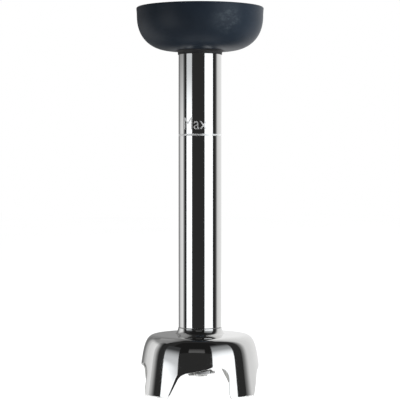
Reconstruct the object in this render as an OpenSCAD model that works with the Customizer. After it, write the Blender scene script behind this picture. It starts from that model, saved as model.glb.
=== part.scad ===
// Detachable blending leg of an immersion blender: coupling cup, steel tube,
// bell guard with four arches, and the drive line that turns the blade.
// Origin: centre of the foot, on the surface it stands on. +Z points up the tube.

/* [Leg] */
// Height from the foot to the rim of the coupling cup
leg_h = 224; // [216:1:240]
// Outside diameter of the tube
tube_od = 25; // [25:0.5:26]
// Wall of the tube
tube_wall = 1; // [0.8:0.1:1]
// Height of the fill line above the foot
line_z = 149.7; // [130:0.1:155]

/* [Coupling cup] */
// Outside diameter of the cup at its rim
cup_od = 74.24; // [72:0.1:80]
// Bore of the cup's mouth, where the motor unit's nose seats
mouth_d = 68.8; // [66:0.1:69.4]
// How square the rounded side of the cup is (2 is an ellipse)
cup_power = 2.33; // [2:0.01:2.6]
// Depth of the cup, from its rim down to its floor
cup_depth = 20; // [19:0.5:20]

/* [Bayonet ring] */
// Bore that takes the motor unit's spigot
socket_d = 42; // [42:0.5:43]
// Outside diameter of the ring
ring_od = 48; // [47:0.5:49]
// Height of the ring above its base
ring_h = 9; // [8:0.5:9]
// Number of bayonet lugs
lugs = 3; // [2:1:4]

/* [Bell guard] */
// Outside diameter of the bell at its foot
foot_od = 73.4; // [71:0.1:76]
// Outside diameter of the bell at its shoulder
shoulder_od = 68.76; // [66:0.1:70]
// Height of the bell's neck, where the tube starts
neck_z = 37.4; // [37.4:0.1:39]
// Thickness of the bell's sheet
bell_wall = 1; // [0.8:0.1:1.2]
// How square the bell's shoulder is (2 is an ellipse)
bell_power = 3.9; // [3.4:0.01:4.2]
// Number of arches cut in the bell
arches = 4; // [3:1:4]

/* [Blade] */
// Tip to tip length of the blade
blade_len = 48; // [40:1:52]
// Width of the blade at its root
blade_w = 15.5; // [12:0.5:17]
// Thickness of the blade
blade_t = 1.5; // [1.2:0.1:1.8]
// Angle that one wing is bent up by, and the other down
blade_bend = 10; // [3:1:12]
// How far the bend lines are skewed from square across the blade
blade_skew = 35; // [0:5:40]
// Turn of the blade about the shaft at rest
blade_turn = 4; // [0:1:90]

/* [Drive line] */
// Diameter of the drive shaft
shaft_d = 6; // [5.6:0.2:6]
// Radial clearance of the shaft in its bushes
run_gap = 0.03; // [0.02:0.01:0.08]
// Balls in the upper bearing
balls = 7; // [6:1:7]
// Teeth on the drive dog
dog_teeth = 6; // [4:2:6]
// How far the drive dog can be pushed down against its spring
dog_travel = 3; // [2:0.5:3]

/* [Hidden] */
$fn = 96;
eps = 0.01;

// Leg and cup
tube_r = tube_od / 2;
bore_r = tube_r - tube_wall;
tube_top = leg_h - 18;
cup_floor = leg_h - cup_depth;
cup_rim_r = cup_od / 2;
cup_side_r = cup_rim_r - 0.25;
cup_side_z = leg_h - 4.06;
cup_base_z = leg_h - 25.03;
cup_base_r = 15.53;
mouth_r = mouth_d / 2;
mouth_z = leg_h - 5.5;
rim_round = 0.7;
cup_floor_r = 28.5;
seal_z = cup_base_z - 2.4;
line_w = 1;
line_groove = 0.12;

// Bayonet ring, with its base on the tube's flange
flange_r = 20;
flange_t = 2;
base_z = cup_floor + flange_t;
base_t = 2.5;
ring_z = base_z + base_t;
ring_top = ring_z + ring_h;
socket_r = socket_d / 2;
ring_r = ring_od / 2;
lug_reach = 2.2;
lug_h = 3;
lug_w = 6;
screw_circle = 17;
screws = 3;
screw_r = 1.5;
screw_head_r = 2.75;
screw_head_h = 1.8;
screw_len = 7.5;

// Bell guard
foot_r = foot_od / 2;
shoulder_r = shoulder_od / 2;
shoulder_z = 16.1;
dome_r = 22.96;
dome_z = 33.56;
dome_slope = 0.035;
neck_r = tube_r + 0.2;
neck_foot_r = 14;
steps = 24;
// One arch seen from outside: corners as [across, up], and the radius that rounds each
arch_corners = [[-19.6, -3], [-16.6, 3], [-11.2, 13.44], [16.75, 19.2], [16.65, 3], [18.6, -3]];
arch_rounds = [0, 9, 7.5, 6.8, 9, 0];

// Lower bearing housing
housing_foot = 21.4;
housing_top = 58;
land_r = neck_r - bell_wall;
thread_r = land_r - 0.7;
seal_r = 8.2;
seal_foot = 23.4;
seal_top = 30;
bush_r = 6;
bush_foot = 34;
bush_len = 20;
o_ring_z = 48;
o_ring_t = 1.8;
nut_r = 15.5;
nut_foot = 27.8;
nut_top = 32.78;

// Shaft and blade
shaft_r = shaft_d / 2;
shaft_top = leg_h - 9.5;
spigot_r = 2.5;
spigot_flat = 2;
tap_r = 1.5;
screw_foot = 8.9;
blade_z = 10.4;
blade_top = blade_z + blade_t;
bend_r = 6.3;
hub_top = 19.4;
slinger_top = 20.4;

// Upper bearing: 6 mm bore, 19 mm outside, 6 mm wide
brg_foot = leg_h - 30;
brg_h = 6;
brg_top = brg_foot + brg_h;
brg_mid = brg_foot + brg_h / 2;
brg_r = 9.5;
pitch_r = 6.25;
ball_r = 1.75;
groove_r = 1.8;
inner_land = 5.1;
outer_land = 7.4;
clip_t = 0.8;
ring_clip_t = 1;

// Drive dog on the shaft's top
seat_top = brg_top + clip_t + 0.6;
dog_foot = leg_h - 17;
dog_top = leg_h - 6;
dog_r = 8;
dog_core_r = 6.2;
dog_tooth_w = 2.8;
pin_z = leg_h - 13.5;
pin_r = 1;
pin_half = 5.9;
slide_gap = 0.05;

// Point on a superellipse quarter: t = 0 is on the side, 90 on the flat
function squircle(t, power) = [pow(cos(t), 2 / power), pow(sin(t), 2 / power)];

// Outline through corners, each corner rounded with an arc that touches both its sides
function unit(v) = v / norm(v);
function corner_arc(a, b, c, r, n = 8) =
    r == 0 ? [b] :
    let (u = unit(a - b), v = unit(c - b),
         half = acos(u * v) / 2,
         centre = b + unit(u + v) * r / sin(half),
         p = b + u * r / tan(half) - centre,
         q = b + v * r / tan(half) - centre,
         from = atan2(p.y, p.x),
         turn = atan2(q.y, q.x) - from,
         sweep = turn > 180 ? turn - 360 : turn < -180 ? turn + 360 : turn)
    [for (i = [0:n]) centre + r * [cos(from + sweep * i / n), sin(from + sweep * i / n)]];
function rounded(corners, rounds) =
    let (n = len(corners))
    [for (i = [0:n - 1])
        each corner_arc(corners[(i + n - 1) % n], corners[i], corners[(i + 1) % n], rounds[i])];

// A turned ring between two radii and two heights
module ring(inner, outer, foot, top) {
    difference() {
        translate([0, 0, foot]) cylinder(r = outer, h = top - foot);
        translate([0, 0, foot - 1]) cylinder(r = inner, h = top - foot + 2);
    }
}

// A turned ring whose outer edges are broken by a small chamfer
module chamfered_ring(inner, outer, foot, top, chamfer) {
    rotate_extrude()
        polygon([[inner, foot], [outer - chamfer, foot], [outer, foot + chamfer],
                 [outer, top - chamfer], [outer - chamfer, top], [inner, top]]);
}

module around(count, start = 0) {
    for (i = [0:count - 1]) rotate([0, 0, start + 360 * i / count]) children();
}

// Side of the cup from its flat underside up to the foot of its straight wall
function cup_outside() = [for (i = [steps:-1:0])
    let (p = squircle(90 * i / steps, cup_power))
    [cup_base_r + (cup_side_r - cup_base_r) * p.x, cup_side_z - (cup_side_z - cup_base_z) * p.y]];
// Hollow of the cup, from the foot of its bored mouth down to its floor
function cup_inside() = [for (i = [0:steps])
    let (p = squircle(90 * i / steps, cup_power))
    [cup_floor_r + (mouth_r - cup_floor_r) * p.x, mouth_z - (mouth_z - cup_floor) * p.y]];

module collar_shell() {
    color([0.13, 0.15, 0.18])
    difference() {
        rotate_extrude()
            polygon(concat(
                [[tube_r, cup_base_z]],
                cup_outside(),
                [[cup_rim_r, leg_h - rim_round]],
                [for (a = [15:15:90])
                    [cup_rim_r - rim_round * (1 - cos(a)), leg_h - rim_round * (1 - sin(a))]],
                [for (a = [90:15:180])
                    [mouth_r + rim_round * (1 + cos(a)), leg_h - rim_round * (1 - sin(a))]],
                cup_inside(),
                [[tube_r, cup_floor]]));
        around(screws)
            translate([screw_circle, 0, ring_z - screw_len])
                cylinder(r = screw_r, h = screw_len, $fn = 32);
    }
}

// Ring that the motor unit's spigot plugs into, with lugs outside for its bayonet
module bayonet_ring() {
    color([0.2, 0.21, 0.23])
    difference() {
        union() {
            ring(tube_r + 0.5, ring_r, base_z, ring_z);
            rotate_extrude()
                polygon([[socket_r, ring_z - eps], [ring_r, ring_z - eps], [ring_r, ring_top - 0.8],
                         [ring_r - 0.8, ring_top], [socket_r, ring_top]]);
            around(lugs, 60)
                translate([ring_r - 1, -lug_w / 2, ring_top - lug_h - 1.5])
                    cube([lug_reach + 1, lug_w, lug_h]);
        }
        around(screws)
            translate([screw_circle, 0, base_z - 1]) cylinder(r = screw_r, h = 6, $fn = 32);
    }
}

module collar_screws() {
    color([0.78, 0.79, 0.8])
    around(screws)
        translate([screw_circle, 0, 0])
            difference() {
                union() {
                    translate([0, 0, ring_z - screw_len])
                        cylinder(r = screw_r, h = screw_len + eps, $fn = 32);
                    translate([0, 0, ring_z]) cylinder(r = screw_head_r, h = screw_head_h, $fn = 48);
                }
                for (turn = [0, 90])
                    rotate([0, 0, turn])
                        translate([-1.5, -0.35, ring_z + 0.7]) cube([3, 0.7, 3]);
            }
}

module cup_gasket() {
    color([0.08, 0.08, 0.09])
    rotate_extrude()
        polygon([[ring_r, cup_floor], [ring_r + 3.6, cup_floor], [ring_r + 3.6, cup_floor + 1],
                 [ring_r + 2.6, cup_floor + 2], [ring_r + 1.2, cup_floor + 2], [ring_r, cup_floor + 1.4]]);
}

// Rubber ring in the corner between the tube and the underside of the cup
module neck_seal() {
    foot_edge = tube_r + 0.4;
    fillet = 1.5;
    color([0.09, 0.1, 0.12])
    rotate_extrude()
        polygon(concat(
            [[tube_r, seal_z], [foot_edge - 0.15, seal_z], [foot_edge, seal_z + 0.15]],
            [for (a = [0:15:90])
                [foot_edge + fillet * (1 - cos(a)), cup_base_z - fillet * (1 - sin(a))]],
            [[tube_r, cup_base_z]]));
}

module tube() {
    color([0.8, 0.81, 0.82])
    difference() {
        ring(bore_r, tube_r, neck_z + 0.3, tube_top);
        ring(tube_r - line_groove, tube_r + 1, line_z - line_w / 2, line_z + line_w / 2);
    }
}

module tube_flange() {
    color([0.72, 0.73, 0.75])
    difference() {
        ring(tube_r, flange_r, cup_floor, cup_floor + flange_t);
        around(screws)
            translate([screw_circle, 0, cup_floor - 1]) cylinder(r = screw_r, h = 4, $fn = 32);
    }
}

// Etched band in a shallow groove of the tube
module fill_line() {
    color([0.75, 0.76, 0.77])
    ring(tube_r - line_groove, tube_r, line_z - line_w / 2, line_z + line_w / 2);
}

// Seat of the upper bearing, pressed into the tube's top end
module bearing_carrier() {
    lip_r = 6.5;
    color([0.62, 0.64, 0.66])
    rotate_extrude()
        polygon([[lip_r, brg_foot - 8], [bore_r - 0.6, brg_foot - 8], [bore_r, brg_foot - 7.4],
                 [bore_r, tube_top - 1], [brg_r, tube_top - 1], [brg_r, brg_top + ring_clip_t],
                 [brg_r + 0.6, brg_top + ring_clip_t], [brg_r + 0.6, brg_top],
                 [brg_r, brg_top], [brg_r, brg_foot], [lip_r, brg_foot]]);
}

module race_groove() {
    translate([0, 0, brg_mid]) rotate_extrude() translate([pitch_r, 0]) circle(r = groove_r, $fn = 32);
}

module outer_race() {
    color([0.7, 0.71, 0.73])
    difference() {
        ring(outer_land, brg_r, brg_foot, brg_top);
        race_groove();
    }
}

module inner_race() {
    color([0.7, 0.71, 0.73])
    difference() {
        ring(shaft_r, inner_land, brg_foot, brg_top);
        race_groove();
    }
}

module bearing_shields() {
    shield_t = 0.5;
    color([0.5, 0.52, 0.54])
    for (foot = [brg_foot, brg_top - shield_t])
        ring(inner_land + 0.4, outer_land, foot, foot + shield_t);
}

module bearing_balls() {
    color([0.85, 0.86, 0.88])
    around(balls) translate([pitch_r, 0, brg_mid]) sphere(r = ball_r, $fn = 32);
}

module ball_cage() {
    color([0.75, 0.6, 0.35])
    difference() {
        ring(inner_land + 0.3, outer_land - 0.3, brg_mid - 2.2, brg_mid + 2.2);
        around(balls) translate([pitch_r, 0, brg_mid]) sphere(r = ball_r + 0.04, $fn = 32);
    }
}

// Inside circlip: an open ring with two ears that have plier holes
module inside_circlip(inner, outer, foot, thick, ear_r) {
    difference() {
        union() {
            ring(inner, outer, foot, foot + thick);
            for (side = [-1, 1])
                rotate([0, 0, side * 16])
                    translate([inner - ear_r * 0.3, 0, foot]) cylinder(r = ear_r, h = thick, $fn = 24);
        }
        translate([0, -1, foot - 1]) cube([outer + 1, 2, thick + 2]);
        for (side = [-1, 1])
            rotate([0, 0, side * 16])
                translate([inner - ear_r * 0.3, 0, foot - 1])
                    cylinder(r = ear_r * 0.45, h = thick + 2, $fn = 16);
    }
}

module carrier_circlip() {
    color([0.3, 0.31, 0.33])
    inside_circlip(brg_r - 0.9, brg_r + 0.6, brg_top, ring_clip_t, 1.1);
}

// Spoked bush half way up the tube that stops the shaft from whipping
module damping_bush() {
    foot = 112;
    bush_h = 10;
    color([0.85, 0.84, 0.8])
    union() {
        ring(bore_r - 2, bore_r, foot, foot + bush_h);
        ring(shaft_r + run_gap, shaft_r + 2.5, foot, foot + bush_h);
        around(3)
            translate([shaft_r + 1.5, -1.2, foot]) cube([bore_r - shaft_r - 2.5, 2.4, bush_h]);
    }
}

// Half section of the bell's sheet; inset is the depth below its outer face. The foot's straight
// flare runs on upwards, and the shoulder bends it in to the dome.
function bell_side(inset) = [for (i = [0:steps])
    let (p = squircle(90 * i / steps, bell_power),
         z = shoulder_z + (dome_z - inset - shoulder_z) * p.x,
         flare = foot_r - (foot_r - shoulder_r) * z / shoulder_z)
    [dome_r + (flare - inset - dome_r) * p.y, z]];

module bell_sheet() {
    rotate_extrude()
        polygon(concat(
            [[land_r, neck_z], [neck_r, neck_z], [neck_r + 0.15, neck_z - 0.5],
             [neck_r + 0.5, neck_z - 1.2], [neck_foot_r - 0.3, neck_z - 2.9],
             [neck_foot_r, dome_z + dome_slope * (dome_r - neck_foot_r)]],
            bell_side(0),
            [[foot_r, 0], [foot_r - bell_wall, 0]],
            [for (i = [steps:-1:0]) bell_side(bell_wall)[i]],
            [[neck_foot_r - 1, dome_z + dome_slope * (dome_r - neck_foot_r) - bell_wall],
             [land_r, dome_z + dome_slope * (dome_r - neck_foot_r) - bell_wall]]));
}

module arch_cut() {
    rotate([90, 0, 0])
        translate([0, 0, shoulder_r / 2])
            linear_extrude(height = foot_r) polygon(rounded(arch_corners, arch_rounds));
}

module bell_guard() {
    color([0.82, 0.83, 0.84])
    difference() {
        bell_sheet();
        around(arches) arch_cut();
    }
}

// Nut that clamps the bell's top against the shoulder of the housing
module clamp_nut() {
    notches = 6;
    color([0.66, 0.67, 0.69])
    difference() {
        chamfered_ring(thread_r, nut_r, nut_foot, nut_top, 0.6);
        around(notches)
            translate([nut_r - 1.4, -1.6, nut_foot - 1]) cube([3, 3.2, nut_top - nut_foot + 2]);
    }
}

// Turned housing: spigot in the tube, shoulder between tube and bell, seal seat below
module hub_housing() {
    groove_foot = o_ring_z - 1.2;
    groove_top = o_ring_z + 1.2;
    groove_in = bore_r - o_ring_t;
    clip_in = seal_r + 0.6;
    color([0.7, 0.71, 0.73])
    rotate_extrude()
        polygon([[seal_r, housing_foot], [thread_r - 0.5, housing_foot], [thread_r, housing_foot + 0.5],
                 [thread_r, nut_top], [land_r, nut_top], [land_r, neck_z],
                 [tube_r - 0.2, neck_z], [tube_r - 0.2, neck_z + 0.3], [bore_r, neck_z + 0.3],
                 [bore_r, groove_foot], [groove_in, groove_foot], [groove_in, groove_top],
                 [bore_r, groove_top], [bore_r, housing_top - 1], [bore_r - 1, housing_top],
                 [bush_r, housing_top], [bush_r, seal_top], [seal_r, seal_top], [seal_r, seal_foot],
                 [clip_in, seal_foot], [clip_in, seal_foot - ring_clip_t],
                 [seal_r, seal_foot - ring_clip_t]]);
}

module housing_o_ring() {
    color([0.06, 0.06, 0.07])
    rotate_extrude() translate([bore_r - o_ring_t / 2, o_ring_z]) circle(r = o_ring_t / 2, $fn = 32);
}

module lower_bush() {
    color([0.68, 0.5, 0.3])
    ring(shaft_r + run_gap, bush_r, bush_foot, bush_foot + bush_len);
}

// Rotary shaft seal: a flange, a thin web, and a lip that runs on the shaft
module lip_seal() {
    lip_gap = 0.04;
    lip_r = shaft_r + lip_gap;
    color([0.1, 0.1, 0.11])
    rotate_extrude()
        polygon([[seal_r, seal_foot], [seal_r - 1.6, seal_foot], [seal_r - 1.6, seal_top - 2.2],
                 [lip_r + 1.7, seal_top - 2.6], [lip_r + 1.2, seal_foot + 0.6], [lip_r, seal_foot + 0.9],
                 [lip_r, seal_foot + 1.5], [lip_r + 0.5, seal_top - 1.6], [lip_r, seal_top - 1],
                 [lip_r, seal_top - 0.4], [lip_r + 0.8, seal_top], [seal_r, seal_top]]);
}

module seal_circlip() {
    color([0.3, 0.31, 0.33])
    rotate([0, 0, 135])
        inside_circlip(seal_r - 1.2, seal_r + 0.6, seal_foot - ring_clip_t, ring_clip_t, 1);
}

// Lower end of the shaft, with two flats that drive the blade
module spigot(foot, top) {
    intersection() {
        translate([0, 0, foot]) cylinder(r = spigot_r, h = top - foot);
        translate([-shaft_r, -spigot_flat, foot]) cube([shaft_d, 2 * spigot_flat, top - foot]);
    }
}

// Shaft with a stepped lower end, a tapped hole, two clip grooves and a pin hole
module drive_shaft() {
    color([0.78, 0.79, 0.81])
    difference() {
        union() {
            translate([0, 0, blade_top]) cylinder(r = shaft_r, h = shaft_top - blade_top - 0.6);
            translate([0, 0, shaft_top - 0.6]) cylinder(r1 = shaft_r, r2 = shaft_r - 0.6, h = 0.6);
            spigot(blade_z, blade_top + 1);
        }
        for (foot = [brg_foot - clip_t, brg_top])
            ring(shaft_r - 0.4, shaft_r + 1, foot, foot + clip_t);
        translate([0, 0, blade_z - 1]) cylinder(r = tap_r, h = 11, $fn = 32);
        translate([-shaft_r - 1, 0, pin_z]) rotate([0, 90, 0])
            cylinder(r = pin_r, h = 2 * shaft_r + 2, $fn = 32);
    }
}

// Two snap rings that hold the inner race on the shaft, each with an open mouth
module shaft_clips() {
    color([0.3, 0.31, 0.33])
    for (foot = [brg_foot - clip_t, brg_top])
        difference() {
            ring(shaft_r - 0.4, shaft_r + 1.6, foot, foot + clip_t);
            rotate([0, 0, 45]) translate([0, -1.7, foot - 1]) cube([8, 3.4, clip_t + 2]);
        }
}

module spring_seat() {
    color([0.6, 0.61, 0.63])
    ring(shaft_r + 0.02, shaft_r + 2.6, brg_top + clip_t, seat_top);
}

module coupling_spring() {
    color([0.6, 0.61, 0.63])
    ring(shaft_r + 0.9, shaft_r + 2, seat_top, dog_foot);
}

module drive_pin() {
    color([0.75, 0.76, 0.78])
    translate([-pin_half, 0, pin_z]) rotate([0, 90, 0]) cylinder(r = pin_r, h = 2 * pin_half, $fn = 32);
}

// Splined driver that the motor unit's coupling drops over; it slides on the shaft
module drive_dog() {
    slot_r = pin_r + slide_gap;
    color([0.12, 0.12, 0.13])
    difference() {
        union() {
            rotate_extrude()
                polygon([[shaft_r + slide_gap, dog_foot], [dog_core_r, dog_foot],
                         [dog_core_r, dog_top - 1], [dog_core_r - 1, dog_top],
                         [shaft_r + slide_gap, dog_top]]);
            intersection() {
                around(dog_teeth, 180 / dog_teeth)
                    translate([dog_core_r - 1, -dog_tooth_w / 2, dog_foot])
                        cube([dog_r - dog_core_r + 1, dog_tooth_w, dog_top - dog_foot]);
                rotate_extrude()
                    polygon([[dog_core_r - 2, dog_foot], [dog_r - 0.5, dog_foot], [dog_r, dog_foot + 0.5],
                             [dog_r, dog_top - 1.6], [dog_core_r - 0.6, dog_top - 0.5],
                             [dog_core_r - 2, dog_top - 0.5]]);
            }
        }
        rotate([0, 90, 0]) {
            for (rise = [0, dog_travel])
                translate([-pin_z - rise, 0, -dog_r - 1]) cylinder(r = slot_r, h = 2 * dog_r + 2, $fn = 32);
            translate([-pin_z - dog_travel, -slot_r, -dog_r - 1])
                cube([dog_travel, 2 * slot_r, 2 * dog_r + 2]);
        }
    }
}

module slinger() {
    color([0.74, 0.75, 0.77])
    rotate_extrude()
        polygon([[shaft_r, hub_top], [7.6, hub_top], [8.2, hub_top - 1.4], [9, hub_top - 1.4],
                 [9, slinger_top - 0.4], [8.6, slinger_top], [shaft_r, slinger_top]]);
}

module blade_hub() {
    color([0.74, 0.75, 0.77])
    rotate_extrude()
        polygon([[shaft_r, blade_top], [6, blade_top], [6, blade_top + 1.5], [4.8, blade_top + 3],
                 [4.8, hub_top], [shaft_r, hub_top]]);
}

// Outline of the blade, laid flat along X
module blade_plan() {
    tip = blade_len / 2;
    half_w = blade_w / 2;
    wing = [[tip - 4, -half_w + 0.8], [tip, -half_w + 3.6], [tip - 1.2, half_w - 2.6], [tip - 6, half_w]];
    polygon(rounded(concat(wing, -wing), [5, 3, 2.5, 9, 5, 3, 2.5, 9]));
}

// Band of the plan between two lines that run parallel to the bends
module bend_band(from, to) {
    rotate([0, 0, blade_skew]) translate([from, -blade_len]) square([to - from, 2 * blade_len]);
}

// One wing beyond its oblique bend line, nicked at both ends of the bend, then turned up about it
module bent_wing(bend) {
    half_w = blade_w / 2;
    nick_w = half_w - 1;
    bevel_from = bend_r / cos(blade_skew) + half_w * tan(blade_skew) + 1;
    rotate([0, 0, blade_skew]) translate([bend_r, 0, 0]) rotate([0, -bend, 0])
        translate([-bend_r, 0, 0]) rotate([0, 0, -blade_skew])
            difference() {
                linear_extrude(height = blade_t)
                    difference() {
                        intersection() {
                            blade_plan();
                            bend_band(bend_r - 0.8, blade_len);
                        }
                        for (side = [-1, 1])
                            intersection() {
                                bend_band(bend_r - 1, bend_r + 0.4);
                                translate([-blade_len, side * (nick_w + half_w) - half_w])
                                    square([2 * blade_len, blade_w]);
                            }
                    }
                translate([bevel_from, -half_w - 1, -0.3]) rotate([28, 0, 0]) cube([blade_len, 8, 4]);
            }
}

module blade() {
    color([0.8, 0.81, 0.82])
    difference() {
        translate([0, 0, blade_z])
            rotate([0, 0, -90 + blade_turn]) {
                linear_extrude(height = blade_t)
                    intersection() {
                        blade_plan();
                        bend_band(-bend_r, bend_r);
                    }
                bent_wing(blade_bend);
                rotate([0, 0, 180]) bent_wing(-blade_bend);
            }
        spigot(blade_z - 1, blade_top + 1);
    }
}

module blade_screw() {
    head_r = 4.4;
    color([0.76, 0.77, 0.79])
    difference() {
        union() {
            translate([0, 0, blade_z]) cylinder(r = tap_r, h = 9, $fn = 32);
            rotate_extrude()
                polygon([[0, screw_foot], [head_r - 0.5, screw_foot], [head_r, screw_foot + 0.4],
                         [head_r, blade_z], [0, blade_z]]);
        }
        translate([0, 0, screw_foot - 1]) cylinder(r = 1.45, h = 2, $fn = 6);
    }
}

collar_shell();
bayonet_ring();
collar_screws();
cup_gasket();
neck_seal();
tube();
tube_flange();
fill_line();
bearing_carrier();
outer_race();
bearing_shields();
carrier_circlip();
damping_bush();
bell_guard();
clamp_nut();
hub_housing();
housing_o_ring();
lower_bush();
lip_seal();
seal_circlip();
drive_shaft();
inner_race();
shaft_clips();
spring_seat();
drive_pin();
slinger();
blade_hub();
blade();
blade_screw();
bearing_balls();
ball_cage();
drive_dog();
coupling_spring();
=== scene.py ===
# Blending leg of an immersion blender: coupling cup, polished tube, arched bell guard and drive
# line. Sizes are in metres, with the tube's axis on Z and the bell's foot at height 0.
import math

import bpy
from mathutils import Euler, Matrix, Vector


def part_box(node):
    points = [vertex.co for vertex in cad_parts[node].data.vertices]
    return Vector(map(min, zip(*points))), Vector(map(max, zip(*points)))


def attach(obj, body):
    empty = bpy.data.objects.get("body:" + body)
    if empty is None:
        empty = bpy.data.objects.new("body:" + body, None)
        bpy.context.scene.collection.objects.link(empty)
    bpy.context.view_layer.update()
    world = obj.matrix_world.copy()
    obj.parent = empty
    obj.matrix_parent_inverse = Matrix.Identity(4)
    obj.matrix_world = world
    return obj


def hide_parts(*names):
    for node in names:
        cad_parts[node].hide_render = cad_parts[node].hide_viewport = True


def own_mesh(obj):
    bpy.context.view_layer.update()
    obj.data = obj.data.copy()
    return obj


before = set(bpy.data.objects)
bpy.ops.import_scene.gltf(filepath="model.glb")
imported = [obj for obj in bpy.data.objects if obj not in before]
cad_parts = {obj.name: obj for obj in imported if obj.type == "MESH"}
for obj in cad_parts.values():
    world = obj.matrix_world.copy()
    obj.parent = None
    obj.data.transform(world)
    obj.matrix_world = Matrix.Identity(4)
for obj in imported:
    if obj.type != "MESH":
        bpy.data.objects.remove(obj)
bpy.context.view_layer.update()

# ---------------------------------------------------------------------------------------------
# Coupling cup: one deep moulding in blue-black satin plastic, bored out to take the motor's nose.
# It is turned here from its wall outline, with a rounded rim.
cup_low, cup_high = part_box("collar_shell")
tube_low, tube_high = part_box("tube")
tube_r = tube_high.x
cup_top = cup_high.z
cup_rim_r = cup_high.x
cup_draft = 0.00025
cup_side_r = cup_rim_r - cup_draft
cup_side_z = cup_top - 0.00406
cup_power = 2.33
cup_base_r = 0.01553
cup_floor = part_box("tube_flange")[0].z
cup_floor_r = 0.0285
mouth_r = 0.0344
mouth_z = cup_top - 0.0055
rim_round = 0.0007
outer_steps = 56
inner_steps = 32


def squircle(turn, power):
    """One point on a unit quarter superellipse: turn 0 is on the side, a quarter turn is on the flat."""
    return max(math.cos(turn), 0.0) ** (2 / power), max(math.sin(turn), 0.0) ** (2 / power)


def quarter(steps):
    """Angles through a quarter turn, closer together at both its ends."""
    return [math.pi / 4 * (1 - math.cos(math.pi * i / steps)) for i in range(steps + 1)]


def arc(across, up, radius, start, end, steps=6):
    """Points along an arc about a centre, between two angles in degrees."""
    angles = [math.radians(start + (end - start) * i / steps) for i in range(steps + 1)]
    return [(across + radius * math.cos(a), up + radius * math.sin(a)) for a in angles]


def select_only(piece):
    """Leaves one object selected and active, so that an operator acts on nothing else."""
    bpy.ops.object.select_all(action="DESELECT")
    piece.select_set(True)
    bpy.context.view_layer.objects.active = piece


def smooth(piece, degrees=32):
    """Shades a piece smooth, apart from its true edges."""
    select_only(piece)
    bpy.ops.object.shade_smooth_by_angle(angle=math.radians(degrees))


def turned(name, outline, steps=160, degrees=32):
    """Turns a closed outline of (radius, height) points about the tube's axis, as on a lathe."""
    bpy.ops.object.select_all(action="DESELECT")
    bpy.ops.mesh.primitive_plane_add(size=0.001, location=(outline[0][0], 0, outline[0][1]))
    piece = bpy.context.object
    piece.name = name
    bpy.ops.object.mode_set(mode="EDIT")
    bpy.ops.mesh.merge(type="CENTER")
    back_to_start = outline[:1] if outline[0][0] > 0 else []
    for (r0, z0), (r1, z1) in zip(outline, outline[1:] + back_to_start):
        bpy.ops.mesh.extrude_region_move(TRANSFORM_OT_translate={"value": (r1 - r0, 0, z1 - z0)})
    bpy.ops.mesh.select_all(action="SELECT")
    bpy.ops.mesh.remove_doubles(threshold=1e-7)
    bpy.ops.mesh.spin(steps=steps, angle=math.tau, center=(0, 0, 0), axis=(0, 0, 1))
    bpy.ops.mesh.select_all(action="SELECT")
    bpy.ops.mesh.remove_doubles(threshold=1e-6)
    bpy.ops.mesh.normals_make_consistent(inside=False)
    bpy.ops.object.mode_set(mode="OBJECT")
    bpy.ops.object.transform_apply(location=True, rotation=True, scale=True)
    smooth(piece, degrees)
    return piece


class Wire:
    """A shader socket that Python's own sums can be written on."""

    def __init__(self, finish, socket):
        self.finish = finish
        self.socket = socket

    def work(self, operation, first, second):
        """One sum, either of whose values may be a plain number."""
        return self.finish.node("ShaderNodeMath", {"operation": operation}, [first, second])

    def __add__(self, other):
        return self.work("ADD", self, other)

    def __radd__(self, other):
        return self.work("ADD", other, self)

    def __mul__(self, other):
        return self.work("MULTIPLY", self, other)

    def __rmul__(self, other):
        return self.work("MULTIPLY", other, self)

    def ramp(self, low, high, bottom=0.0, top=1.0):
        """Smoothly from bottom to top as this value goes from low to high."""
        settings = {"interpolation_type": "SMOOTHSTEP"}
        return self.finish.node("ShaderNodeMapRange", settings, [self, low, high, bottom, top])

    def mix(self, first, second):
        """A colour between two, this value being the share of the second."""
        values = {0: self, 6: first, 7: second}
        return self.finish.node("ShaderNodeMix", {"data_type": "RGBA"}, values, 2)


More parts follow.
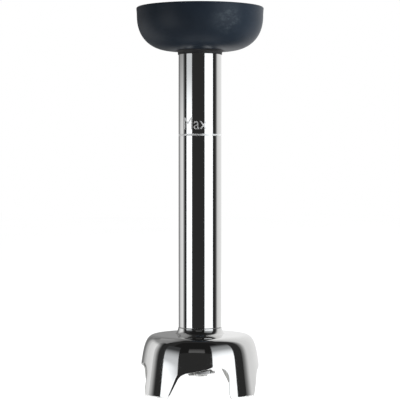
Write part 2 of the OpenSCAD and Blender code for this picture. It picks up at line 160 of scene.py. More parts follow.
class Finish:
    """One finish of this object: a material with its Principled shader and its nodes."""

    def __init__(self, name, colour, **constants):
        self.material = bpy.data.materials.new(name)
        self.material.use_nodes = True
        self.tree = self.material.node_tree
        self.shader = self.tree.nodes["Principled BSDF"]
        self.shader.inputs["Base Color"].default_value = (*colour, 1)
        for label, value in constants.items():
            self.shader.inputs[label.replace("_", " ")].default_value = value

    def node(self, kind, settings, values, output=0):
        """Adds a node, makes its settings, then sets or links its sockets."""
        node = self.tree.nodes.new(kind)
        for label, value in settings.items():
            setattr(node, label, value)
        for key, value in values.items() if isinstance(values, dict) else enumerate(values):
            if isinstance(value, Wire):
                self.tree.links.new(value.socket, node.inputs[key])
            else:
                node.inputs[key].default_value = value
        return Wire(self, node.outputs[output])

    def place(self, scale=(1, 1, 1)):
        """Where a point is on the piece, stretched along each axis."""
        where = self.node("ShaderNodeTexCoord", {}, {}, "Object")
        return self.node("ShaderNodeMapping", {}, {"Vector": where, "Scale": scale})

    def noise(self, scale, detail=3.0, rough=0.5, stretch=(1, 1, 1)):
        """Soft random patches, scale of them in a metre, narrower along an axis with more stretch."""
        values = {"Vector": self.place(stretch), "Scale": scale, "Detail": detail, "Roughness": rough}
        return self.node("ShaderNodeTexNoise", {}, values)

    def lines(self, where):
        """Fine lines, as a tool or a wheel leaves, across the given value."""
        values = {"W": where, "Scale": 1.0, "Detail": 2.0}
        return self.node("ShaderNodeTexNoise", {"noise_dimensions": "1D"}, values)

    def radius(self):
        """Distance from the tube's axis."""
        across = self.place((1, 1, 0))
        return self.node("ShaderNodeVectorMath", {"operation": "LENGTH"}, [across], "Value")

    def height(self):
        """Height above the bell's foot."""
        return self.node("ShaderNodeSeparateXYZ", {}, [self.place()], "Z")

    def set(self, label, wire):
        """Links a value that varies over the surface to one of the shader's sockets."""
        self.tree.links.new(wire.socket, self.shader.inputs[label])

    def bump(self, wire, distance, strength=1.0):
        """Relief of the given depth in metres."""
        values = {"Strength": strength, "Distance": distance, "Height": wire}
        self.set("Normal", self.node("ShaderNodeBump", {}, values))

    def on(self, *pieces):
        """Gives pieces this finish and no other."""
        for piece in pieces:
            piece.data.materials.clear()
            piece.data.materials.append(self.material)


cup_outline = (
    [(tube_r, cup_low.z)]
    + [
        (cup_base_r + (cup_side_r - cup_base_r) * p[0], cup_side_z - (cup_side_z - cup_low.z) * p[1])
        for p in (squircle(a, cup_power) for a in reversed(quarter(outer_steps)))
    ]
    + arc(cup_rim_r - rim_round, cup_top - rim_round, rim_round, 0, 90)
    + arc(mouth_r + rim_round, cup_top - rim_round, rim_round, 90, 180)
    + [
        (cup_floor_r + (mouth_r - cup_floor_r) * p[0], mouth_z - (mouth_z - cup_floor) * p[1])
        for p in (squircle(a, cup_power) for a in quarter(inner_steps))
    ]
    + [(tube_r, cup_floor)]
)
cup = turned("coupling_cup", cup_outline, steps=224)
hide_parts("collar_shell")
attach(cup, "leg")

# Handling has left one chalky scuff on the cup's side, among fine moulded grain
satin = Finish("satin_blue_black_plastic", (0.012, 0.018, 0.028), Specular_IOR_Level=0.2)
cloud = satin.noise(90, 4, 0.6)
grain = satin.noise(4200, 2, 0.5)
rubs = satin.noise(210, 6, 0.75, (1, 1, 1.8)).ramp(0.42, 0.70)
scuff = (0.0160, -0.0335, 0.2140)
aside = satin.node("ShaderNodeVectorMath", {"operation": "DISTANCE"}, [satin.place(), scuff], "Value")
chalk = rubs * aside.ramp(0.012, 0.001)
tone = cloud.mix((0.0105, 0.0160, 0.0245, 1), (0.0165, 0.0240, 0.0350, 1))
satin.set("Base Color", (chalk * 0.5).mix(tone, (0.085, 0.105, 0.118, 1)))
satin.set("Roughness", 0.34 + cloud * 0.10 + chalk * 0.2)
satin.bump(grain * 0.7 + cloud * 0.6, 0.00003, 0.5)
satin.on(cup)

# ---------------------------------------------------------------------------------------------
# Bayonet ring: a black glass-filled ring screwed to the cup's floor, with three lugs outside for
# the motor's bayonet, and a bore for its spigot. Edges broken by a small radius all over.
def finished_copy(node, name, break_edge, body, steps=2, degrees=30):
    """A copy of a CAD part with its triangles merged into clean faces and its sharp edges broken."""
    piece = bpy.data.objects.new(name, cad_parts[node].data.copy())
    bpy.context.scene.collection.objects.link(piece)
    select_only(piece)
    bpy.ops.object.mode_set(mode="EDIT")
    bpy.ops.mesh.select_all(action="SELECT")
    bpy.ops.mesh.remove_doubles(threshold=2e-6)
    bpy.ops.mesh.dissolve_limited(angle_limit=math.radians(0.4))
    bpy.ops.object.mode_set(mode="OBJECT")
    bpy.ops.object.modifier_add(type="BEVEL")
    bevel = piece.modifiers[-1]
    bevel.width = break_edge
    bevel.segments = steps
    bevel.limit_method = "ANGLE"
    bevel.angle_limit = math.radians(degrees)
    bevel.harden_normals = True
    bpy.ops.object.modifier_apply(modifier=bevel.name)
    smooth(piece, 40)
    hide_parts(node)
    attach(piece, body)
    return piece


ring = finished_copy("bayonet_ring", "bayonet_ring_moulding", 0.0003, "leg")
filled = Finish("glass_filled_plastic", (0.03, 0.032, 0.036))
fibre = filled.noise(900, 5, 0.7, (1, 1, 0.3))
filled.set("Base Color", fibre.mix((0.022, 0.024, 0.028, 1), (0.050, 0.053, 0.058, 1)))
filled.set("Roughness", 0.42 + fibre * 0.2)
filled.bump(fibre, 0.00002, 0.5)
filled.on(ring)

# ---------------------------------------------------------------------------------------------
# Collar screws: three stainless pan-head screws through the ring and the tube's flange, each
# with a pressed cross recess. One is made, then copied round the screw circle.
screw_low, screw_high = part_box("collar_screws")
screw_r = 0.0015
screw_head_r = 0.00275
screw_circle = screw_high.x - screw_head_r
screw_head_h = 0.0018
screw_tip_in = 0.0004
screw_tip_up = 0.0005
head_chamfer = 0.0001
head_round = 0.001
head_low = screw_high.z - screw_head_h
recess_long = 0.0030
recess_wide = 0.0007
recess_deep = 0.0011
first_stop = 0.5
next_stop = 1.1
screw_outline = (
    [(0.0, screw_low.z), (screw_r - screw_tip_in, screw_low.z), (screw_r, screw_low.z + screw_tip_up)]
    + [(screw_r, head_low), (screw_head_r - head_chamfer, head_low)]
    + [(screw_head_r, head_low + head_chamfer)]
    + arc(screw_head_r - head_round, screw_high.z - head_round, head_round, 0, 90)
    + [(0.0, screw_high.z)]
)
screw = turned("collar_screw_1", screw_outline, steps=40)
for turn in (0, 1):
    bpy.ops.object.select_all(action="DESELECT")
    bpy.ops.mesh.primitive_cube_add(size=1, location=(0, 0, screw_high.z))
    cutter = bpy.context.object
    across, along_y = (recess_long, recess_wide) if turn else (recess_wide, recess_long)
    cutter.scale = (across, along_y, 2 * recess_deep)
    bpy.ops.object.transform_apply(location=True, rotation=True, scale=True)
    select_only(screw)
    bpy.ops.object.modifier_add(type="BOOLEAN")
    recess = screw.modifiers[-1]
    recess.object = cutter
    recess.operation = "DIFFERENCE"
    bpy.ops.object.modifier_apply(modifier=recess.name)
    bpy.data.objects.remove(cutter)
screws = [screw]
for extra in (2, 3):
    twin = screw.copy()
    twin.data = screw.data.copy()
    twin.name = f"collar_screw_{extra}"
    bpy.context.scene.collection.objects.link(twin)
    screws.append(twin)
for index, one in enumerate(screws):
    select_only(one)
    one.location = Vector((screw_circle, 0, 0))
    one.location.rotate(Euler((0, 0, math.tau * index / 3)))
    one.rotation_euler = (0, 0, first_stop + next_stop * index)
    bpy.ops.object.transform_apply(location=True, rotation=True, scale=True)
    smooth(one, 30)
    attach(one, "leg")
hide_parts("collar_screws")

turned_steel = Finish("turned_stainless", (0.46, 0.46, 0.455), Metallic=1.0, Roughness=0.25)
lathe_lines = turned_steel.lines((turned_steel.radius() + turned_steel.height()) * 9000)
stain = turned_steel.noise(260, 4, 0.6)
turned_steel.set("Base Color", stain.mix((0.40, 0.40, 0.395, 1), (0.55, 0.55, 0.54, 1)))
turned_steel.set("Roughness", 0.20 + stain * 0.16)
turned_steel.bump(lathe_lines, 0.000012, 0.6)
turned_steel.on(*screws)

# ---------------------------------------------------------------------------------------------
# Seals of the cup: the flat gasket around the ring, with two lips, and the soft boot in the
# corner between the tube and the cup's underside. Both are moulded black rubber.
gasket_low, gasket_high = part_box("cup_gasket")
ring_r = 0.024
gasket_out = gasket_high.x
lip_r = 0.0007
lip_set = 0.0008
web_t = 0.0007
web_edge = 0.0016
gasket_outline = (
    [(ring_r, gasket_low.z), (gasket_out, gasket_low.z)]
    + arc(gasket_out - lip_r, gasket_low.z + lip_set, lip_r, 0, 180, 8)
    + [(gasket_out - web_edge, gasket_low.z + web_t), (ring_r + web_edge, gasket_low.z + web_t)]
    + arc(ring_r + lip_set, gasket_high.z - lip_r, lip_r, 0, 180, 8)
)
gasket = turned("cup_floor_gasket", gasket_outline)
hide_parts("cup_gasket")
boot_low, boot_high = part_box("neck_seal")
boot_edge = tube_r + 0.0004
boot_fillet = 0.0015
boot_chamfer = 0.00015
boot_outline = (
    [(tube_r, boot_low.z), (boot_edge - boot_chamfer, boot_low.z), (boot_edge, boot_low.z + boot_chamfer)]
    + arc(boot_edge + boot_fillet, boot_high.z - boot_fillet, boot_fillet, 180, 90, 8)
    + [(tube_r, boot_high.z)]
)
boot = turned("neck_boot", boot_outline, steps=192)
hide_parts("neck_seal")
rubber = Finish("black_rubber", (0.012, 0.012, 0.013), Roughness=0.55)
bloom = rubber.noise(300, 5, 0.65)
rubber.set("Base Color", bloom.mix((0.009, 0.009, 0.010, 1), (0.022, 0.022, 0.024, 1)))
rubber.set("Roughness", 0.45 + bloom * 0.25)
rubber.bump(rubber.noise(5000, 2, 0.5), 0.00001, 0.5)
rubber.on(gasket, boot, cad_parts["housing_o_ring"])
for seal in (gasket, boot):
    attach(seal, "leg")

# ---------------------------------------------------------------------------------------------
# Tube: drawn stainless, 25 mm, polished to a mirror, with both ends faced and their edges
# broken. A shallow groove holds the etched fill line.
line_low, line_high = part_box("fill_line")
bore_r = tube_r - 0.001
groove = 0.00008
edge = 0.00015
tube_outline = [
    (bore_r, tube_low.z + edge), (bore_r + edge, tube_low.z), (tube_r - edge, tube_low.z),
    (tube_r, tube_low.z + edge), (tube_r, line_low.z - groove), (tube_r - groove, line_low.z),
    (tube_r - groove, line_high.z), (tube_r, line_high.z + groove), (tube_r, tube_high.z - edge),
    (tube_r - edge, tube_high.z), (bore_r + edge, tube_high.z), (bore_r, tube_high.z - edge),
]
tube = turned("polished_tube", tube_outline, steps=256)
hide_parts("tube")
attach(tube, "leg")

mirror = Finish("mirror_polished_stainless", (0.86, 0.86, 0.85), Metallic=1.0)
haze = mirror.noise(46, 3, 0.55, (1, 1, 0.5))
wipes = mirror.noise(700, 3, 0.6, (1, 1, 0.06)).ramp(0.45, 0.8)
hairlines = mirror.noise(2600, 2, 0.6, (0.05, 0.05, 1)).ramp(0.64, 0.72)
mirror.set("Base Color", haze.mix((0.88, 0.88, 0.87, 1), (0.82, 0.82, 0.815, 1)))
mirror.set("Roughness", 0.035 + haze.ramp(0.4, 0.75) * 0.035 + wipes * 0.012 + hairlines * 0.03)
mirror.bump(mirror.noise(60, 1, 0.4), 0.0000045, 1.0)
mirror.on(tube)

# ---------------------------------------------------------------------------------------------
# Fill mark: a band around the tube and the word for full above it, etched frosty white by
# laser. The band lies in its groove; the word is a film of letters wrapped round the tube.
band_in = tube_r - 0.00012
band_out = tube_r - 0.00003
band_chamfer = 0.00002
band_outline = [
    (band_in, line_low.z), (band_out, line_low.z + band_chamfer),
    (band_out, line_high.z - band_chamfer), (band_in, line_high.z),
]
band = turned("fill_band", band_outline, steps=256)
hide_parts("fill_line")
word_h = 0.0070
word_low = line_high.z + 0.0026
word_left = math.radians(-46.7)
word_right = math.radians(19.2)
word_cuts = 24
film = 0.00004
film_root = 0.00002
bpy.ops.object.select_all(action="DESELECT")
bpy.ops.object.text_add(location=(0, 0, 0))
word = bpy.context.object
word.name = "fill_word"
word.data.body = "Max"
word.data.extrude = 0.01
word.data.offset = -0.003
word.data.resolution_u = 6
bpy.ops.object.convert(target="MESH")
corners = [v.co for v in word.data.vertices]
left, right = min(c.x for c in corners), max(c.x for c in corners)
low, high = min(c.y for c in corners), max(c.y for c in corners)
bpy.ops.object.mode_set(mode="EDIT")
bpy.ops.mesh.select_all(action="SELECT")
bpy.ops.mesh.remove_doubles(threshold=1e-5)
bpy.ops.mesh.quads_convert_to_tris()
for cut in range(1, word_cuts):
    bpy.ops.mesh.select_all(action="SELECT")
    here = left + (right - left) * cut / word_cuts
    bpy.ops.mesh.bisect(plane_co=(here, 0, 0), plane_no=(1, 0, 0))
bpy.ops.mesh.select_all(action="SELECT")
bpy.ops.mesh.normals_make_consistent(inside=False)
bpy.ops.object.mode_set(mode="OBJECT")
for vertex in word.data.vertices:
    turn = word_left + (word_right - word_left) * (vertex.co.x - left) / (right - left)
    up = word_low + word_h * (vertex.co.y - low) / (high - low)
    out = tube_r + (film if vertex.co.z > 0 else -film_root)
    vertex.co = (out * math.sin(turn), -out * math.cos(turn), up)
bpy.ops.object.transform_apply(location=True, rotation=True, scale=True)
etched = Finish("laser_etched_steel", (0.85, 0.85, 0.84), Metallic=0.75)
frost = etched.noise(5200, 3, 0.7)
etched.set("Base Color", frost.mix((0.90, 0.90, 0.89, 1), (1.0, 1.0, 0.99, 1)))
etched.set("Roughness", 0.36 + frost * 0.14)
etched.bump(frost, 0.000008, 0.6)
etched.on(band, word)
for mark in (band, word):
    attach(mark, "leg")

# ---------------------------------------------------------------------------------------------
# Bell guard: 1 mm stainless sheet, drawn into a bell, its foot cut into four legs by arches that
# lean one way and whose edges roll in a little, then mirror polished. Its mesh is a grid that
# follows the arches, because a cut across a mirror surface leaves marks in its reflections.
bell_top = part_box("bell_guard")[1].z
foot_r = 0.0367
shoulder_r = 0.03438
shoulder_z = 0.0161
dome_r = 0.02296
dome_z = 0.03356
dome_slope = 0.035
dome_blend = 0.002
neck_r = tube_r + 0.0002
neck_foot_r = 0.0146
bell_power = 3.9
neck_power = 1.5
sheet_t = 0.001
hoop_z = 0.0215
arch_corners = [
    (-0.0196, -0.003), (-0.0166, 0.003), (-0.0112, 0.01344),
    (0.01675, 0.0192), (0.01665, 0.003), (0.0186, -0.003),
]
arch_rounds = [0, 0.009, 0.0075, 0.0068, 0.009, 0]
seam_foot = math.radians(44.6)
seam_hoop = math.radians(49.0)
side_steps = 30
top_steps = 60
hem_rows = 18
hem_crowding = 1.6
shoulder_rows = 64
dome_rows = 14
neck_rows = 16
roll_w = 0.0018
roll_in = 0.00022


def bell_radius(up):
    """Outside radius of the bell at a height: a straight flare, which its shoulder bends inwards."""
    flare = foot_r - (foot_r - shoulder_r) * up / shoulder_z
    share = max(up - shoulder_z, 0.0) / (dome_z - shoulder_z)
    return dome_r + (flare - dome_r) * (1 - share**bell_power) ** (1 / bell_power)


def rounded(corners, rounds, steps=16):
    """An open outline through corners, each rounded by an arc that touches both its sides."""
    points = [corners[0]]
    for before, corner, after, radius in zip(corners, corners[1:], corners[2:], rounds[1:]):
        corner = Vector(corner)
        back = (Vector(before) - corner).normalized()
        ahead = (Vector(after) - corner).normalized()
        half = back.angle(ahead) / 2
        centre = corner + (back + ahead).normalized() * radius / math.sin(half)
        first = corner + back * radius / math.tan(half) - centre
        last = corner + ahead * radius / math.tan(half) - centre
        sweep = math.atan2(first.x * last.y - first.y * last.x, first.dot(last))
        for step in range(steps + 1):
            turn = sweep * step / steps
            x = first.x * math.cos(turn) - first.y * math.sin(turn)
            y = first.x * math.sin(turn) + first.y * math.cos(turn)
            points.append((centre.x + x, centre.y + y))
    return points + [corners[-1]]


def along(points, count):
    """Points spread evenly along an open outline."""
    lengths = [math.dist(p, q) for p, q in zip(points, points[1:])]
    spread = [points[0]]
    step = 0
    done = 0.0
    for index in range(1, count):
        target = sum(lengths) * index / count
        while done + lengths[step] < target:
            done += lengths[step]
            step += 1
        share = (target - done) / lengths[step]
        start, end = points[step], points[step + 1]
        spread.append(tuple(a + (b - a) * share for a, b in zip(start, end)))
    return spread + [points[-1]]


def foot_crossing(below, above):
    """Where a line between two points of the arch meets the foot's plane."""
    share = -below[1] / (above[1] - below[1])
    return below[0] + (above[0] - below[0]) * share, 0.0


def nearest(points, corner):
    return min(range(len(points)), key=lambda index: math.dist(points[index], corner))


arch = rounded(arch_corners, arch_rounds)
arch[0] = foot_crossing(arch[0], arch[1])
arch[-1] = foot_crossing(arch[-1], arch[-2])
left_bend = nearest(arch, arch_corners[2])
right_bend = nearest(arch, arch_corners[3])
edge_line = (
    along(arch[: left_bend + 1], side_steps)
    + along(arch[left_bend : right_bend + 1], top_steps)[1:]
    + along(arch[right_bend:], side_steps)[1:]
)
edge_line = [(math.asin(across / bell_radius(up)), up) for across, up in edge_line]
quarter_turn = math.pi / 2
climb = []
for step in range(side_steps):
    climb.append((seam_foot + (seam_hoop - seam_foot) * step / side_steps, hoop_z * step / side_steps))
hoop = [(seam_hoop - quarter_turn + quarter_turn * i / top_steps, hoop_z) for i in range(top_steps + 1)]
seam_line = [(turn - quarter_turn, up) for turn, up in climb] + hoop + climb[::-1]

# Each ring above the hoop is a radius and a height, up the shoulder, over the dome and up the neck
start_turn = math.asin(((hoop_z - shoulder_z) / (dome_z - shoulder_z)) ** (bell_power / 2))
rings = []
for step in range(1, shoulder_rows + 1):
    turn = start_turn + (quarter_turn - start_turn) * step / shoulder_rows
    up = shoulder_z + (dome_z - shoulder_z) * squircle(turn, bell_power)[1]
    rings.append((bell_radius(min(up, dome_z)), up))
for step in range(1, dome_rows + 1):
    rings.append((dome_r + (neck_foot_r - dome_r) * step / dome_rows, dome_z))
dome_lift = [dome_slope * dome_blend * math.log(1 + math.exp((dome_r - r) / dome_blend)) for r, _ in rings]
rings = [(r, up + lift) for (r, up), lift in zip(rings, dome_lift)]
neck_start = rings[-1][1]
for step in range(1, neck_rows + 1):
    x, y = squircle(quarter_turn * step / neck_rows, neck_power)
    up = neck_start + (bell_top - neck_start) * (1 - x)
    rings.append((neck_r + (neck_foot_r - neck_r) * (1 - y), up))

points = []
faces = []
for sector in range(4):
    base = len(points)
    for row in range(hem_rows + 1):
        share = (row / hem_rows) ** hem_crowding
        for (turn_a, up_a), (turn_b, up_b) in zip(edge_line, seam_line):
            turn = sector * quarter_turn + turn_a + (turn_b - turn_a) * share
            up = up_a + (up_b - up_a) * share
            inside = share * math.hypot((turn_b - turn_a) * foot_r, up_b - up_a)
            r = bell_radius(up) - roll_in * max(1 - inside / roll_w, 0.0) ** 2
            points.append((r * math.sin(turn), -r * math.cos(turn), up))
    for r, up in rings:
        for turn, _ in hoop:
            turn += sector * quarter_turn
            points.append((r * math.sin(turn), -r * math.cos(turn), up))
    width = len(edge_line)
    for row in range(hem_rows):
        for i in range(width - 1):
            a = base + row * width + i
            faces.append((a, a + 1, a + width + 1, a + width))
    below = base + hem_rows * width + side_steps
    for row in range(len(rings)):
        above = base + (hem_rows + 1) * width + row * (top_steps + 1)
        faces += [(below + i, below + i + 1, above + i + 1, above + i) for i in range(top_steps)]
        below = above
bell_mesh = bpy.data.meshes.new("polished_bell")
bell_mesh.from_pydata(points, [], faces)
bell = bpy.data.objects.new("polished_bell", bell_mesh)
bpy.context.scene.collection.objects.link(bell)
select_only(bell)
bpy.ops.object.mode_set(mode="EDIT")
bpy.ops.mesh.select_all(action="SELECT")
bpy.ops.mesh.remove_doubles(threshold=1e-6)
bpy.ops.mesh.normals_make_consistent(inside=False)
bpy.ops.object.mode_set(mode="OBJECT")
bpy.ops.object.modifier_add(type="SOLIDIFY")
wall = bell.modifiers[-1]
wall.thickness = sheet_t
wall.offset = -1
wall.use_even_offset = True
bpy.ops.object.modifier_apply(modifier=wall.name)
for vertex in bell.data.vertices:
    vertex.co.z = max(vertex.co.z, 0.0)
bpy.ops.object.modifier_add(type="BEVEL")
rim = bell.modifiers[-1]
rim.width = 0.00016
rim.segments = 2
rim.limit_method = "ANGLE"
rim.angle_limit = math.radians(50)
rim.harden_normals = True
bpy.ops.object.modifier_apply(modifier=rim.name)
smooth(bell, 45)
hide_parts("bell_guard")
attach(bell, "leg")

# Outside, the bell is polished; inside and on its cut edges it is left brushed, its colour darkened to
# painted shade
buffed = Finish("buffed_bell_stainless", (0.84, 0.84, 0.83), Metallic=1.0)
smear = buffed.noise(70, 4, 0.6)
rings_worn = buffed.noise(1800, 3, 0.6, (0.12, 0.12, 1)).ramp(0.58, 0.75)
facing = buffed.node("ShaderNodeNewGeometry", {}, {}, "Normal")
facing_and_place = [facing, buffed.place()]
outwards = buffed.node("ShaderNodeVectorMath", {"operation": "DOT_PRODUCT"}, facing_and_place, "Value")
inside_brushed_and_painted_shade = outwards.ramp(0.011, 0.004)
shade = smear.mix((0.86, 0.86, 0.85, 1), (0.79, 0.79, 0.785, 1))
# Painted shade: the inside and the cut edges are coloured dark grey, while the same mask also roughens
# them as brushed
buffed.set("Base Color", inside_brushed_and_painted_shade.mix(shade, (0.31, 0.31, 0.30, 1)))
buffed.set("Roughness", 0.045 + smear.ramp(0.4, 0.8) * 0.05 + rings_worn * 0.04 + inside_brushed_and_painted_shade * 0.2)
buffed.bump(buffed.noise(90, 2, 0.5), 0.000006)
buffed.on(bell)

# ---------------------------------------------------------------------------------------------
# Lower bearing: a turned stainless housing in the tube's end, the slotted nut that clamps the
# bell to it, and its rubber lip seal held by a black spring-steel circlip.
housing = finished_copy("hub_housing", "lower_housing", 0.00015, "leg")
nut = finished_copy("clamp_nut", "bell_nut", 0.0003, "leg")
turned_steel.on(housing, nut)
lip = finished_copy("lip_seal", "shaft_lip_seal", 0.00012, "leg")
rubber.on(lip)
circlip = finished_copy("seal_circlip", "seal_retaining_ring", 0.0001, "leg")
black_spring = Finish("blackened_spring_steel", (0.09, 0.09, 0.095), Metallic=0.9)
scale = black_spring.noise(700, 4, 0.65)
black_spring.set("Base Color", scale.mix((0.05, 0.05, 0.055, 1), (0.16, 0.155, 0.15, 1)))
black_spring.set("Roughness", 0.32 + scale * 0.2)
black_spring.bump(scale, 0.000006)
black_spring.on(circlip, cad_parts["carrier_circlip"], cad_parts["shaft_clips"])

# ---------------------------------------------------------------------------------------------
# Drive shaft: ground stainless bar with a spigot for the blade, two clip grooves and a hole for
# the cross pin. The pin is hardened, with rounded ends.
shaft = finished_copy("drive_shaft", "ground_shaft", 0.00012, "driveline")
ground = Finish("ground_stainless", (0.60, 0.60, 0.59), Metallic=1.0)
feed = ground.lines(ground.height() * 26000)
cast = ground.noise(150, 3, 0.5)
ground.set("Base Color", cast.mix((0.57, 0.57, 0.56, 1), (0.66, 0.66, 0.65, 1)))
ground.set("Roughness", 0.15 + feed * 0.10 + cast * 0.05)
ground.bump(feed, 0.000004, 0.5)
pin = finished_copy("drive_pin", "cross_pin", 0.00035, "driveline", 3)
ground.on(shaft, pin)

# ---------------------------------------------------------------------------------------------
# Blade: one S-shaped strip of hardened blade steel, one wing bent up and the other down, both
# ground to an edge. It sits between its hub and a socket-head screw, under a slinger disc.
blade = finished_copy("blade", "two_wing_blade", 0.00006, "driveline", 1)
keen = Finish("ground_blade_steel", (0.62, 0.62, 0.615), Metallic=1.0)
grind = keen.noise(3200, 3, 0.6, (0.06, 1, 0.3))
spots = keen.noise(380, 4, 0.65).ramp(0.55, 0.8)
keen.set("Base Color", spots.mix((0.66, 0.66, 0.655, 1), (0.50, 0.495, 0.48, 1)))
keen.set("Roughness", 0.16 + grind * 0.14 + spots * 0.06)
keen.bump(grind, 0.000008, 0.7)
keen.on(blade)
hub = finished_copy("blade_hub", "blade_seat_hub", 0.00015, "driveline")
disc = finished_copy("slinger", "slinger_disc", 0.00012, "driveline")
bolt = finished_copy("blade_screw", "blade_bolt", 0.00012, "driveline")
turned_steel.on(hub, disc, bolt)

# ---------------------------------------------------------------------------------------------
# Drive coupling: an acetal driver with six splines, sloped at the top to lead in. It slides on
# the cross pin, on a coil spring of stainless wire whose end coils are closed.
dog = finished_copy("drive_dog", "splined_driver", 0.00025, "drive_coupling", 3)
acetal = Finish("black_acetal", (0.02, 0.02, 0.022))
flow = acetal.noise(160, 3, 0.5)
rubbed = acetal.noise(900, 4, 0.7, (1, 1, 0.15)).ramp(0.6, 0.8)
acetal.set("Base Color", (rubbed * 0.5).mix((0.016, 0.016, 0.018, 1), (0.055, 0.055, 0.058, 1)))
acetal.set("Roughness", 0.30 + flow * 0.12 + rubbed * 0.12)
acetal.bump(flow + rubbed * 0.3, 0.00001)
acetal.on(dog)

spring_low, spring_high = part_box("coupling_spring")
wire_r = 0.0003
coil_r = spring_high.x - wire_r
coils = 4.0
coil_steps = 36
closed_coils = 0.8
bpy.ops.object.select_all(action="DESELECT")
bpy.ops.mesh.primitive_circle_add(
    vertices=14, radius=wire_r, fill_type="NOTHING",
    location=(coil_r, 0, spring_low.z + wire_r), rotation=(math.pi / 2, 0, 0),
)
spring = bpy.context.object
spring.name = "return_spring"
bpy.ops.object.transform_apply(location=True, rotation=True, scale=True)
bpy.ops.object.mode_set(mode="EDIT")
bpy.ops.mesh.select_all(action="SELECT")
bpy.ops.mesh.edge_face_add()
total = int(coils * coil_steps)
closed = int(closed_coils * coil_steps)
closed_rise = 2 * wire_r / coil_steps
open_rise = (spring_high.z - spring_low.z - 2 * wire_r - 2 * closed * closed_rise) / (total - 2 * closed)
for step in range(total):
    rise = open_rise if closed <= step < total - closed else closed_rise
    bpy.ops.mesh.extrude_region_move(TRANSFORM_OT_translate={"value": (0, 0, rise)})
    bpy.ops.transform.rotate(value=math.tau / coil_steps, orient_axis="Z", center_override=(0, 0, 0))
bpy.ops.mesh.select_all(action="SELECT")
bpy.ops.mesh.normals_make_consistent(inside=False)
bpy.ops.object.mode_set(mode="OBJECT")
smooth(spring, 50)
drawn = Finish("drawn_spring_wire", (0.42, 0.42, 0.41), Metallic=1.0)
streak = drawn.noise(2600, 3, 0.6)
drawn.set("Base Color", streak.mix((0.34, 0.34, 0.33, 1), (0.52, 0.52, 0.51, 1)))
drawn.set("Roughness", 0.22 + streak * 0.18)
drawn.bump(streak, 0.000004)
drawn.on(spring)
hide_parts("coupling_spring")
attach(spring, "driveline")
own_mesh(spring)
seat = finished_copy("spring_seat", "spring_washer", 0.00008, "driveline")
turned_steel.on(seat)

# ---------------------------------------------------------------------------------------------
# Upper bearing: a shielded deep-groove ball bearing in an aluminium seat pressed into the tube,
# below its steel flange. These parts keep their CAD shape, which is turned or ground to size.
races = Finish("bearing_steel", (0.55, 0.55, 0.555), Metallic=1.0)
lap = races.noise(800, 3, 0.5, (1, 1, 0.1))
races.set("Base Color", lap.mix((0.52, 0.52, 0.525, 1), (0.62, 0.62, 0.62, 1)))
races.set("Roughness", 0.09 + lap * 0.10)
races.bump(lap, 0.000002)
races.on(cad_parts["outer_race"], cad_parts["inner_race"])
races.on(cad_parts["bearing_shields"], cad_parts["bearing_balls"])
alloy = Finish("turned_aluminium", (0.66, 0.67, 0.68), Metallic=1.0)
tool_marks = alloy.lines((alloy.radius() + alloy.height()) * 12000)
dulling = alloy.noise(220, 4, 0.6)
alloy.set("Base Color", dulling.mix((0.60, 0.61, 0.62, 1), (0.74, 0.75, 0.76, 1)))
alloy.set("Roughness", 0.28 + dulling * 0.2)
alloy.bump(tool_marks, 0.00001, 0.6)
alloy.on(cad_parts["bearing_carrier"])
welded = Finish("pressed_flange_steel", (0.52, 0.52, 0.515), Metallic=1.0)
heat = welded.noise(120, 4, 0.6)
welded.set("Base Color", heat.mix((0.48, 0.475, 0.465, 1), (0.60, 0.60, 0.595, 1)))
welded.set("Roughness", 0.26 + heat * 0.2)
welded.bump(heat, 0.00001)
welded.on(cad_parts["tube_flange"])

# ---------------------------------------------------------------------------------------------
# Bronze and nylon: the sintered bush that steadies the shaft above its seal, the ball cage, and
# the white nylon bush half way up the tube. They keep their CAD shape too.
bronze = Finish("sintered_bronze", (0.45, 0.28, 0.13), Metallic=0.85)
pores = bronze.node("ShaderNodeTexVoronoi", {}, {"Vector": bronze.place(), "Scale": 3800.0})
oil = bronze.noise(200, 4, 0.6)
bronze.set("Base Color", oil.mix((0.36, 0.22, 0.10, 1), (0.56, 0.36, 0.18, 1)))
bronze.set("Roughness", 0.35 + oil * 0.2)
bronze.bump(pores, 0.00002, 0.6)
bronze.on(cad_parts["lower_bush"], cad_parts["ball_cage"])
nylon = Finish("natural_nylon", (0.72, 0.70, 0.64), Roughness=0.45)
milk = nylon.noise(140, 3, 0.5)
nylon.set("Base Color", milk.mix((0.68, 0.66, 0.60, 1), (0.78, 0.76, 0.70, 1)))
nylon.set("Roughness", 0.38 + milk * 0.15)
nylon.bump(nylon.noise(2400, 2, 0.5), 0.00001, 0.5)
nylon.on(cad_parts["damping_bush"])

# ---------------------------------------------------------------------------------------------
# Studio: a pale floor, a white surround, and soft panels that the polished steel mirrors. The
# panels are hidden from the camera, which sees white behind the leg.
bpy.ops.object.select_all(action="DESELECT")
bpy.ops.mesh.primitive_plane_add(size=8, location=(0, 0, 0))
floor = bpy.context.object
floor.name = "studio_floor"
pale = Finish("pale_floor", (0.2, 0.2, 0.2), Roughness=0.9, Emission_Strength=1.0)
faint = pale.noise(3, 2, 0.5)
pale.set("Emission Color", faint.mix((0.97, 0.97, 0.97, 1), (1.0, 1.0, 1.0, 1)))
pale.on(floor)
floor.visible_glossy = False


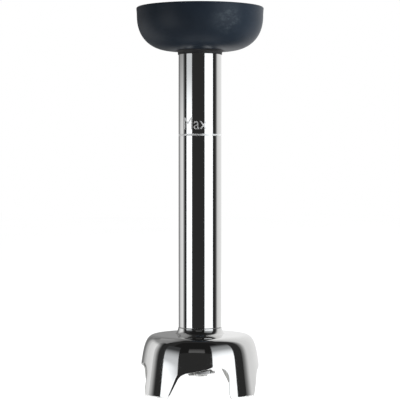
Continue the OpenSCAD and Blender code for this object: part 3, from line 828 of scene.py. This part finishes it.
def panel(name, azimuths, distance, heights, glows, fades=(), cool=1.0):
    """An upright lit panel, square to the leg, between two azimuths counted from the camera.

    Its glow runs from one side to the other, and loses a share over each stretch of height in fades.
    """
    low, high = heights
    middle = math.radians(sum(azimuths) / 2)
    width = 2 * distance * math.tan(math.radians(azimuths[1] - azimuths[0]) / 2)
    where = (distance * math.sin(middle), -distance * math.cos(middle), (low + high) / 2)
    bpy.ops.object.select_all(action="DESELECT")
    bpy.ops.mesh.primitive_plane_add(size=1, location=where, rotation=(math.pi / 2, 0, middle))
    card = bpy.context.object
    card.name = name
    card.scale = (width, high - low, 1)
    lit = Finish(
        name + "_cloth", (0, 0, 0), Roughness=1.0, Specular_IOR_Level=0.0, Emission_Strength=1.0
    )
    across = lit.node("ShaderNodeSeparateXYZ", {}, [lit.place()], "X").ramp(-0.5, 0.5)
    left, right = [(glow * cool, glow * (1 + cool) / 2, glow, 1) for glow in glows]
    colour = across.mix(left, right)
    rise = lit.node("ShaderNodeSeparateXYZ", {}, [lit.place()], "Y")
    for start, end, share in fades:
        begin, finish = [(up - low) / (high - low) - 0.5 for up in (start, end)]
        colour = rise.ramp(begin, finish, 0.0, share).mix(colour, (0, 0, 0, 1))
    lit.set("Emission Color", colour)
    lit.on(card)
    card.visible_camera = False


left_fades = [(0.23, 0.33, 0.52), (0.32, 1.0, 0.93)]
right_fades = [(0.38, 1.18, 0.75), (1.1, 2.3, 0.9)]
panel("left_softbox", (-76.7, -43.8), 2.0, (-1.2, 1.4), (1.4, 1.4), left_fades, 0.95)
panel("right_softbox", (25, 72.5), 2.0, (-1.2, 2.4), (1.4, 1.4), right_fades, 0.95)
panel("left_wing_edge", (-103, -87), 0.35, (-0.2, 0.30), (0.60, 0.02), [(0.15, 0.24, 0.62)])
panel("left_wing", (-128, -103), 0.35, (-0.2, 0.30), (0.72, 0.85), [(0.15, 0.24, 0.62)])
panel("left_back", (-150, -128), 0.35, (-0.2, 0.30), (0.2, 0.6), [(0.15, 0.24, 0.5)])
panel("left_upper_wall", (-160, -90), 1.1, (0.5, 3.0), (0.36, 0.24), [(1.4, 3.0, 0.7)])
panel("left_far", (-180, -140), 1.3, (-0.6, 4.0), (0.30, 0.12), [(0.5, 4.0, 0.6)])
panel("right_wing_edge", (93, 112), 1.1, (-0.6, 4.0), (0.12, 0.75), [(0.5, 4.0, 0.5)])
panel("right_wing", (112, 150), 1.1, (-0.6, 4.0), (0.75, 0.85), [(0.5, 4.0, 0.5)])
panel("right_back", (150, 180), 1.1, (-0.6, 4.0), (0.85, 0.9), [(0.5, 4.0, 0.5)])
panel("dim_window", (-24, 10), 2.0, (0.86, 1.3), (0.105, 0.105), [(0.9, 1.3, 0.5)])
panel("dark_curtain", (-62, 46), 2.6, (1.1, 9.0), (0.012, 0.012))

# A small white tile under the blade, seen only in reflections
bpy.ops.object.select_all(action="DESELECT")
bpy.ops.mesh.primitive_circle_add(vertices=48, radius=0.07, fill_type="NGON", location=(0, 0, 0.0002))
tile = bpy.context.object
tile.name = "white_tile"
tile.visible_camera = False
glow = Finish("tile_white", (0.8, 0.8, 0.8), Roughness=0.6, Emission_Strength=1.0)
glow.set("Emission Color", glow.noise(40).mix((0.9, 0.9, 0.9, 1), (1, 1, 1, 1)))
glow.on(tile)

# Light that the panels can't give the cup: a broad soft source on the right, and a small low one
bpy.ops.object.select_all(action="DESELECT")
bpy.ops.object.light_add(type="AREA", location=(1.2, -0.4, 0.6), rotation=(1.25, 0, 1.25))
key = bpy.context.object
key.name = "key_light"
key.data.size = 0.8
key.data.energy = 15
key.data.color = (0.86, 0.94, 1.0)
key.visible_camera = False
key.visible_glossy = False
bpy.ops.object.select_all(action="DESELECT")
bpy.ops.object.light_add(type="AREA", location=(0.8, -0.5, 0.05), rotation=(1.75, 0, 1.0))
low_light = bpy.context.object
low_light.name = "low_right_light"
low_light.data.size = 0.3
low_light.data.energy = 3
low_light.visible_camera = False
low_light.visible_glossy = False

# The room is white to the camera, and nearly dark to everything that mirrors it
world = bpy.data.worlds.new("white_room")
world.use_nodes = True
bpy.context.scene.world = world
air = world.node_tree
background = air.nodes["Background"]
background.inputs["Color"].default_value = (1, 1, 1, 1)
dark_room = air.nodes.new("ShaderNodeBackground")
dark_room.inputs["Color"].default_value = (0.026, 0.026, 0.026, 1)
seen = air.nodes.new("ShaderNodeLightPath")
blend = air.nodes.new("ShaderNodeMixShader")
air.links.new(seen.outputs["Is Camera Ray"], blend.inputs[0])
air.links.new(dark_room.outputs[0], blend.inputs[1])
air.links.new(background.outputs[0], blend.inputs[2])
air.links.new(blend.outputs[0], air.nodes["World Output"].inputs["Surface"])

camera_tilt = math.radians(90 - 0.86)
bpy.ops.object.camera_add(location=(0, -0.9346, 0.1259), rotation=(camera_tilt, 0, 0))
camera = bpy.context.object
camera.name = "studio_camera"
camera.data.lens = 144
camera.data.sensor_width = 36
bpy.context.scene.camera = camera
bpy.context.scene.view_settings.view_transform = "Standard"
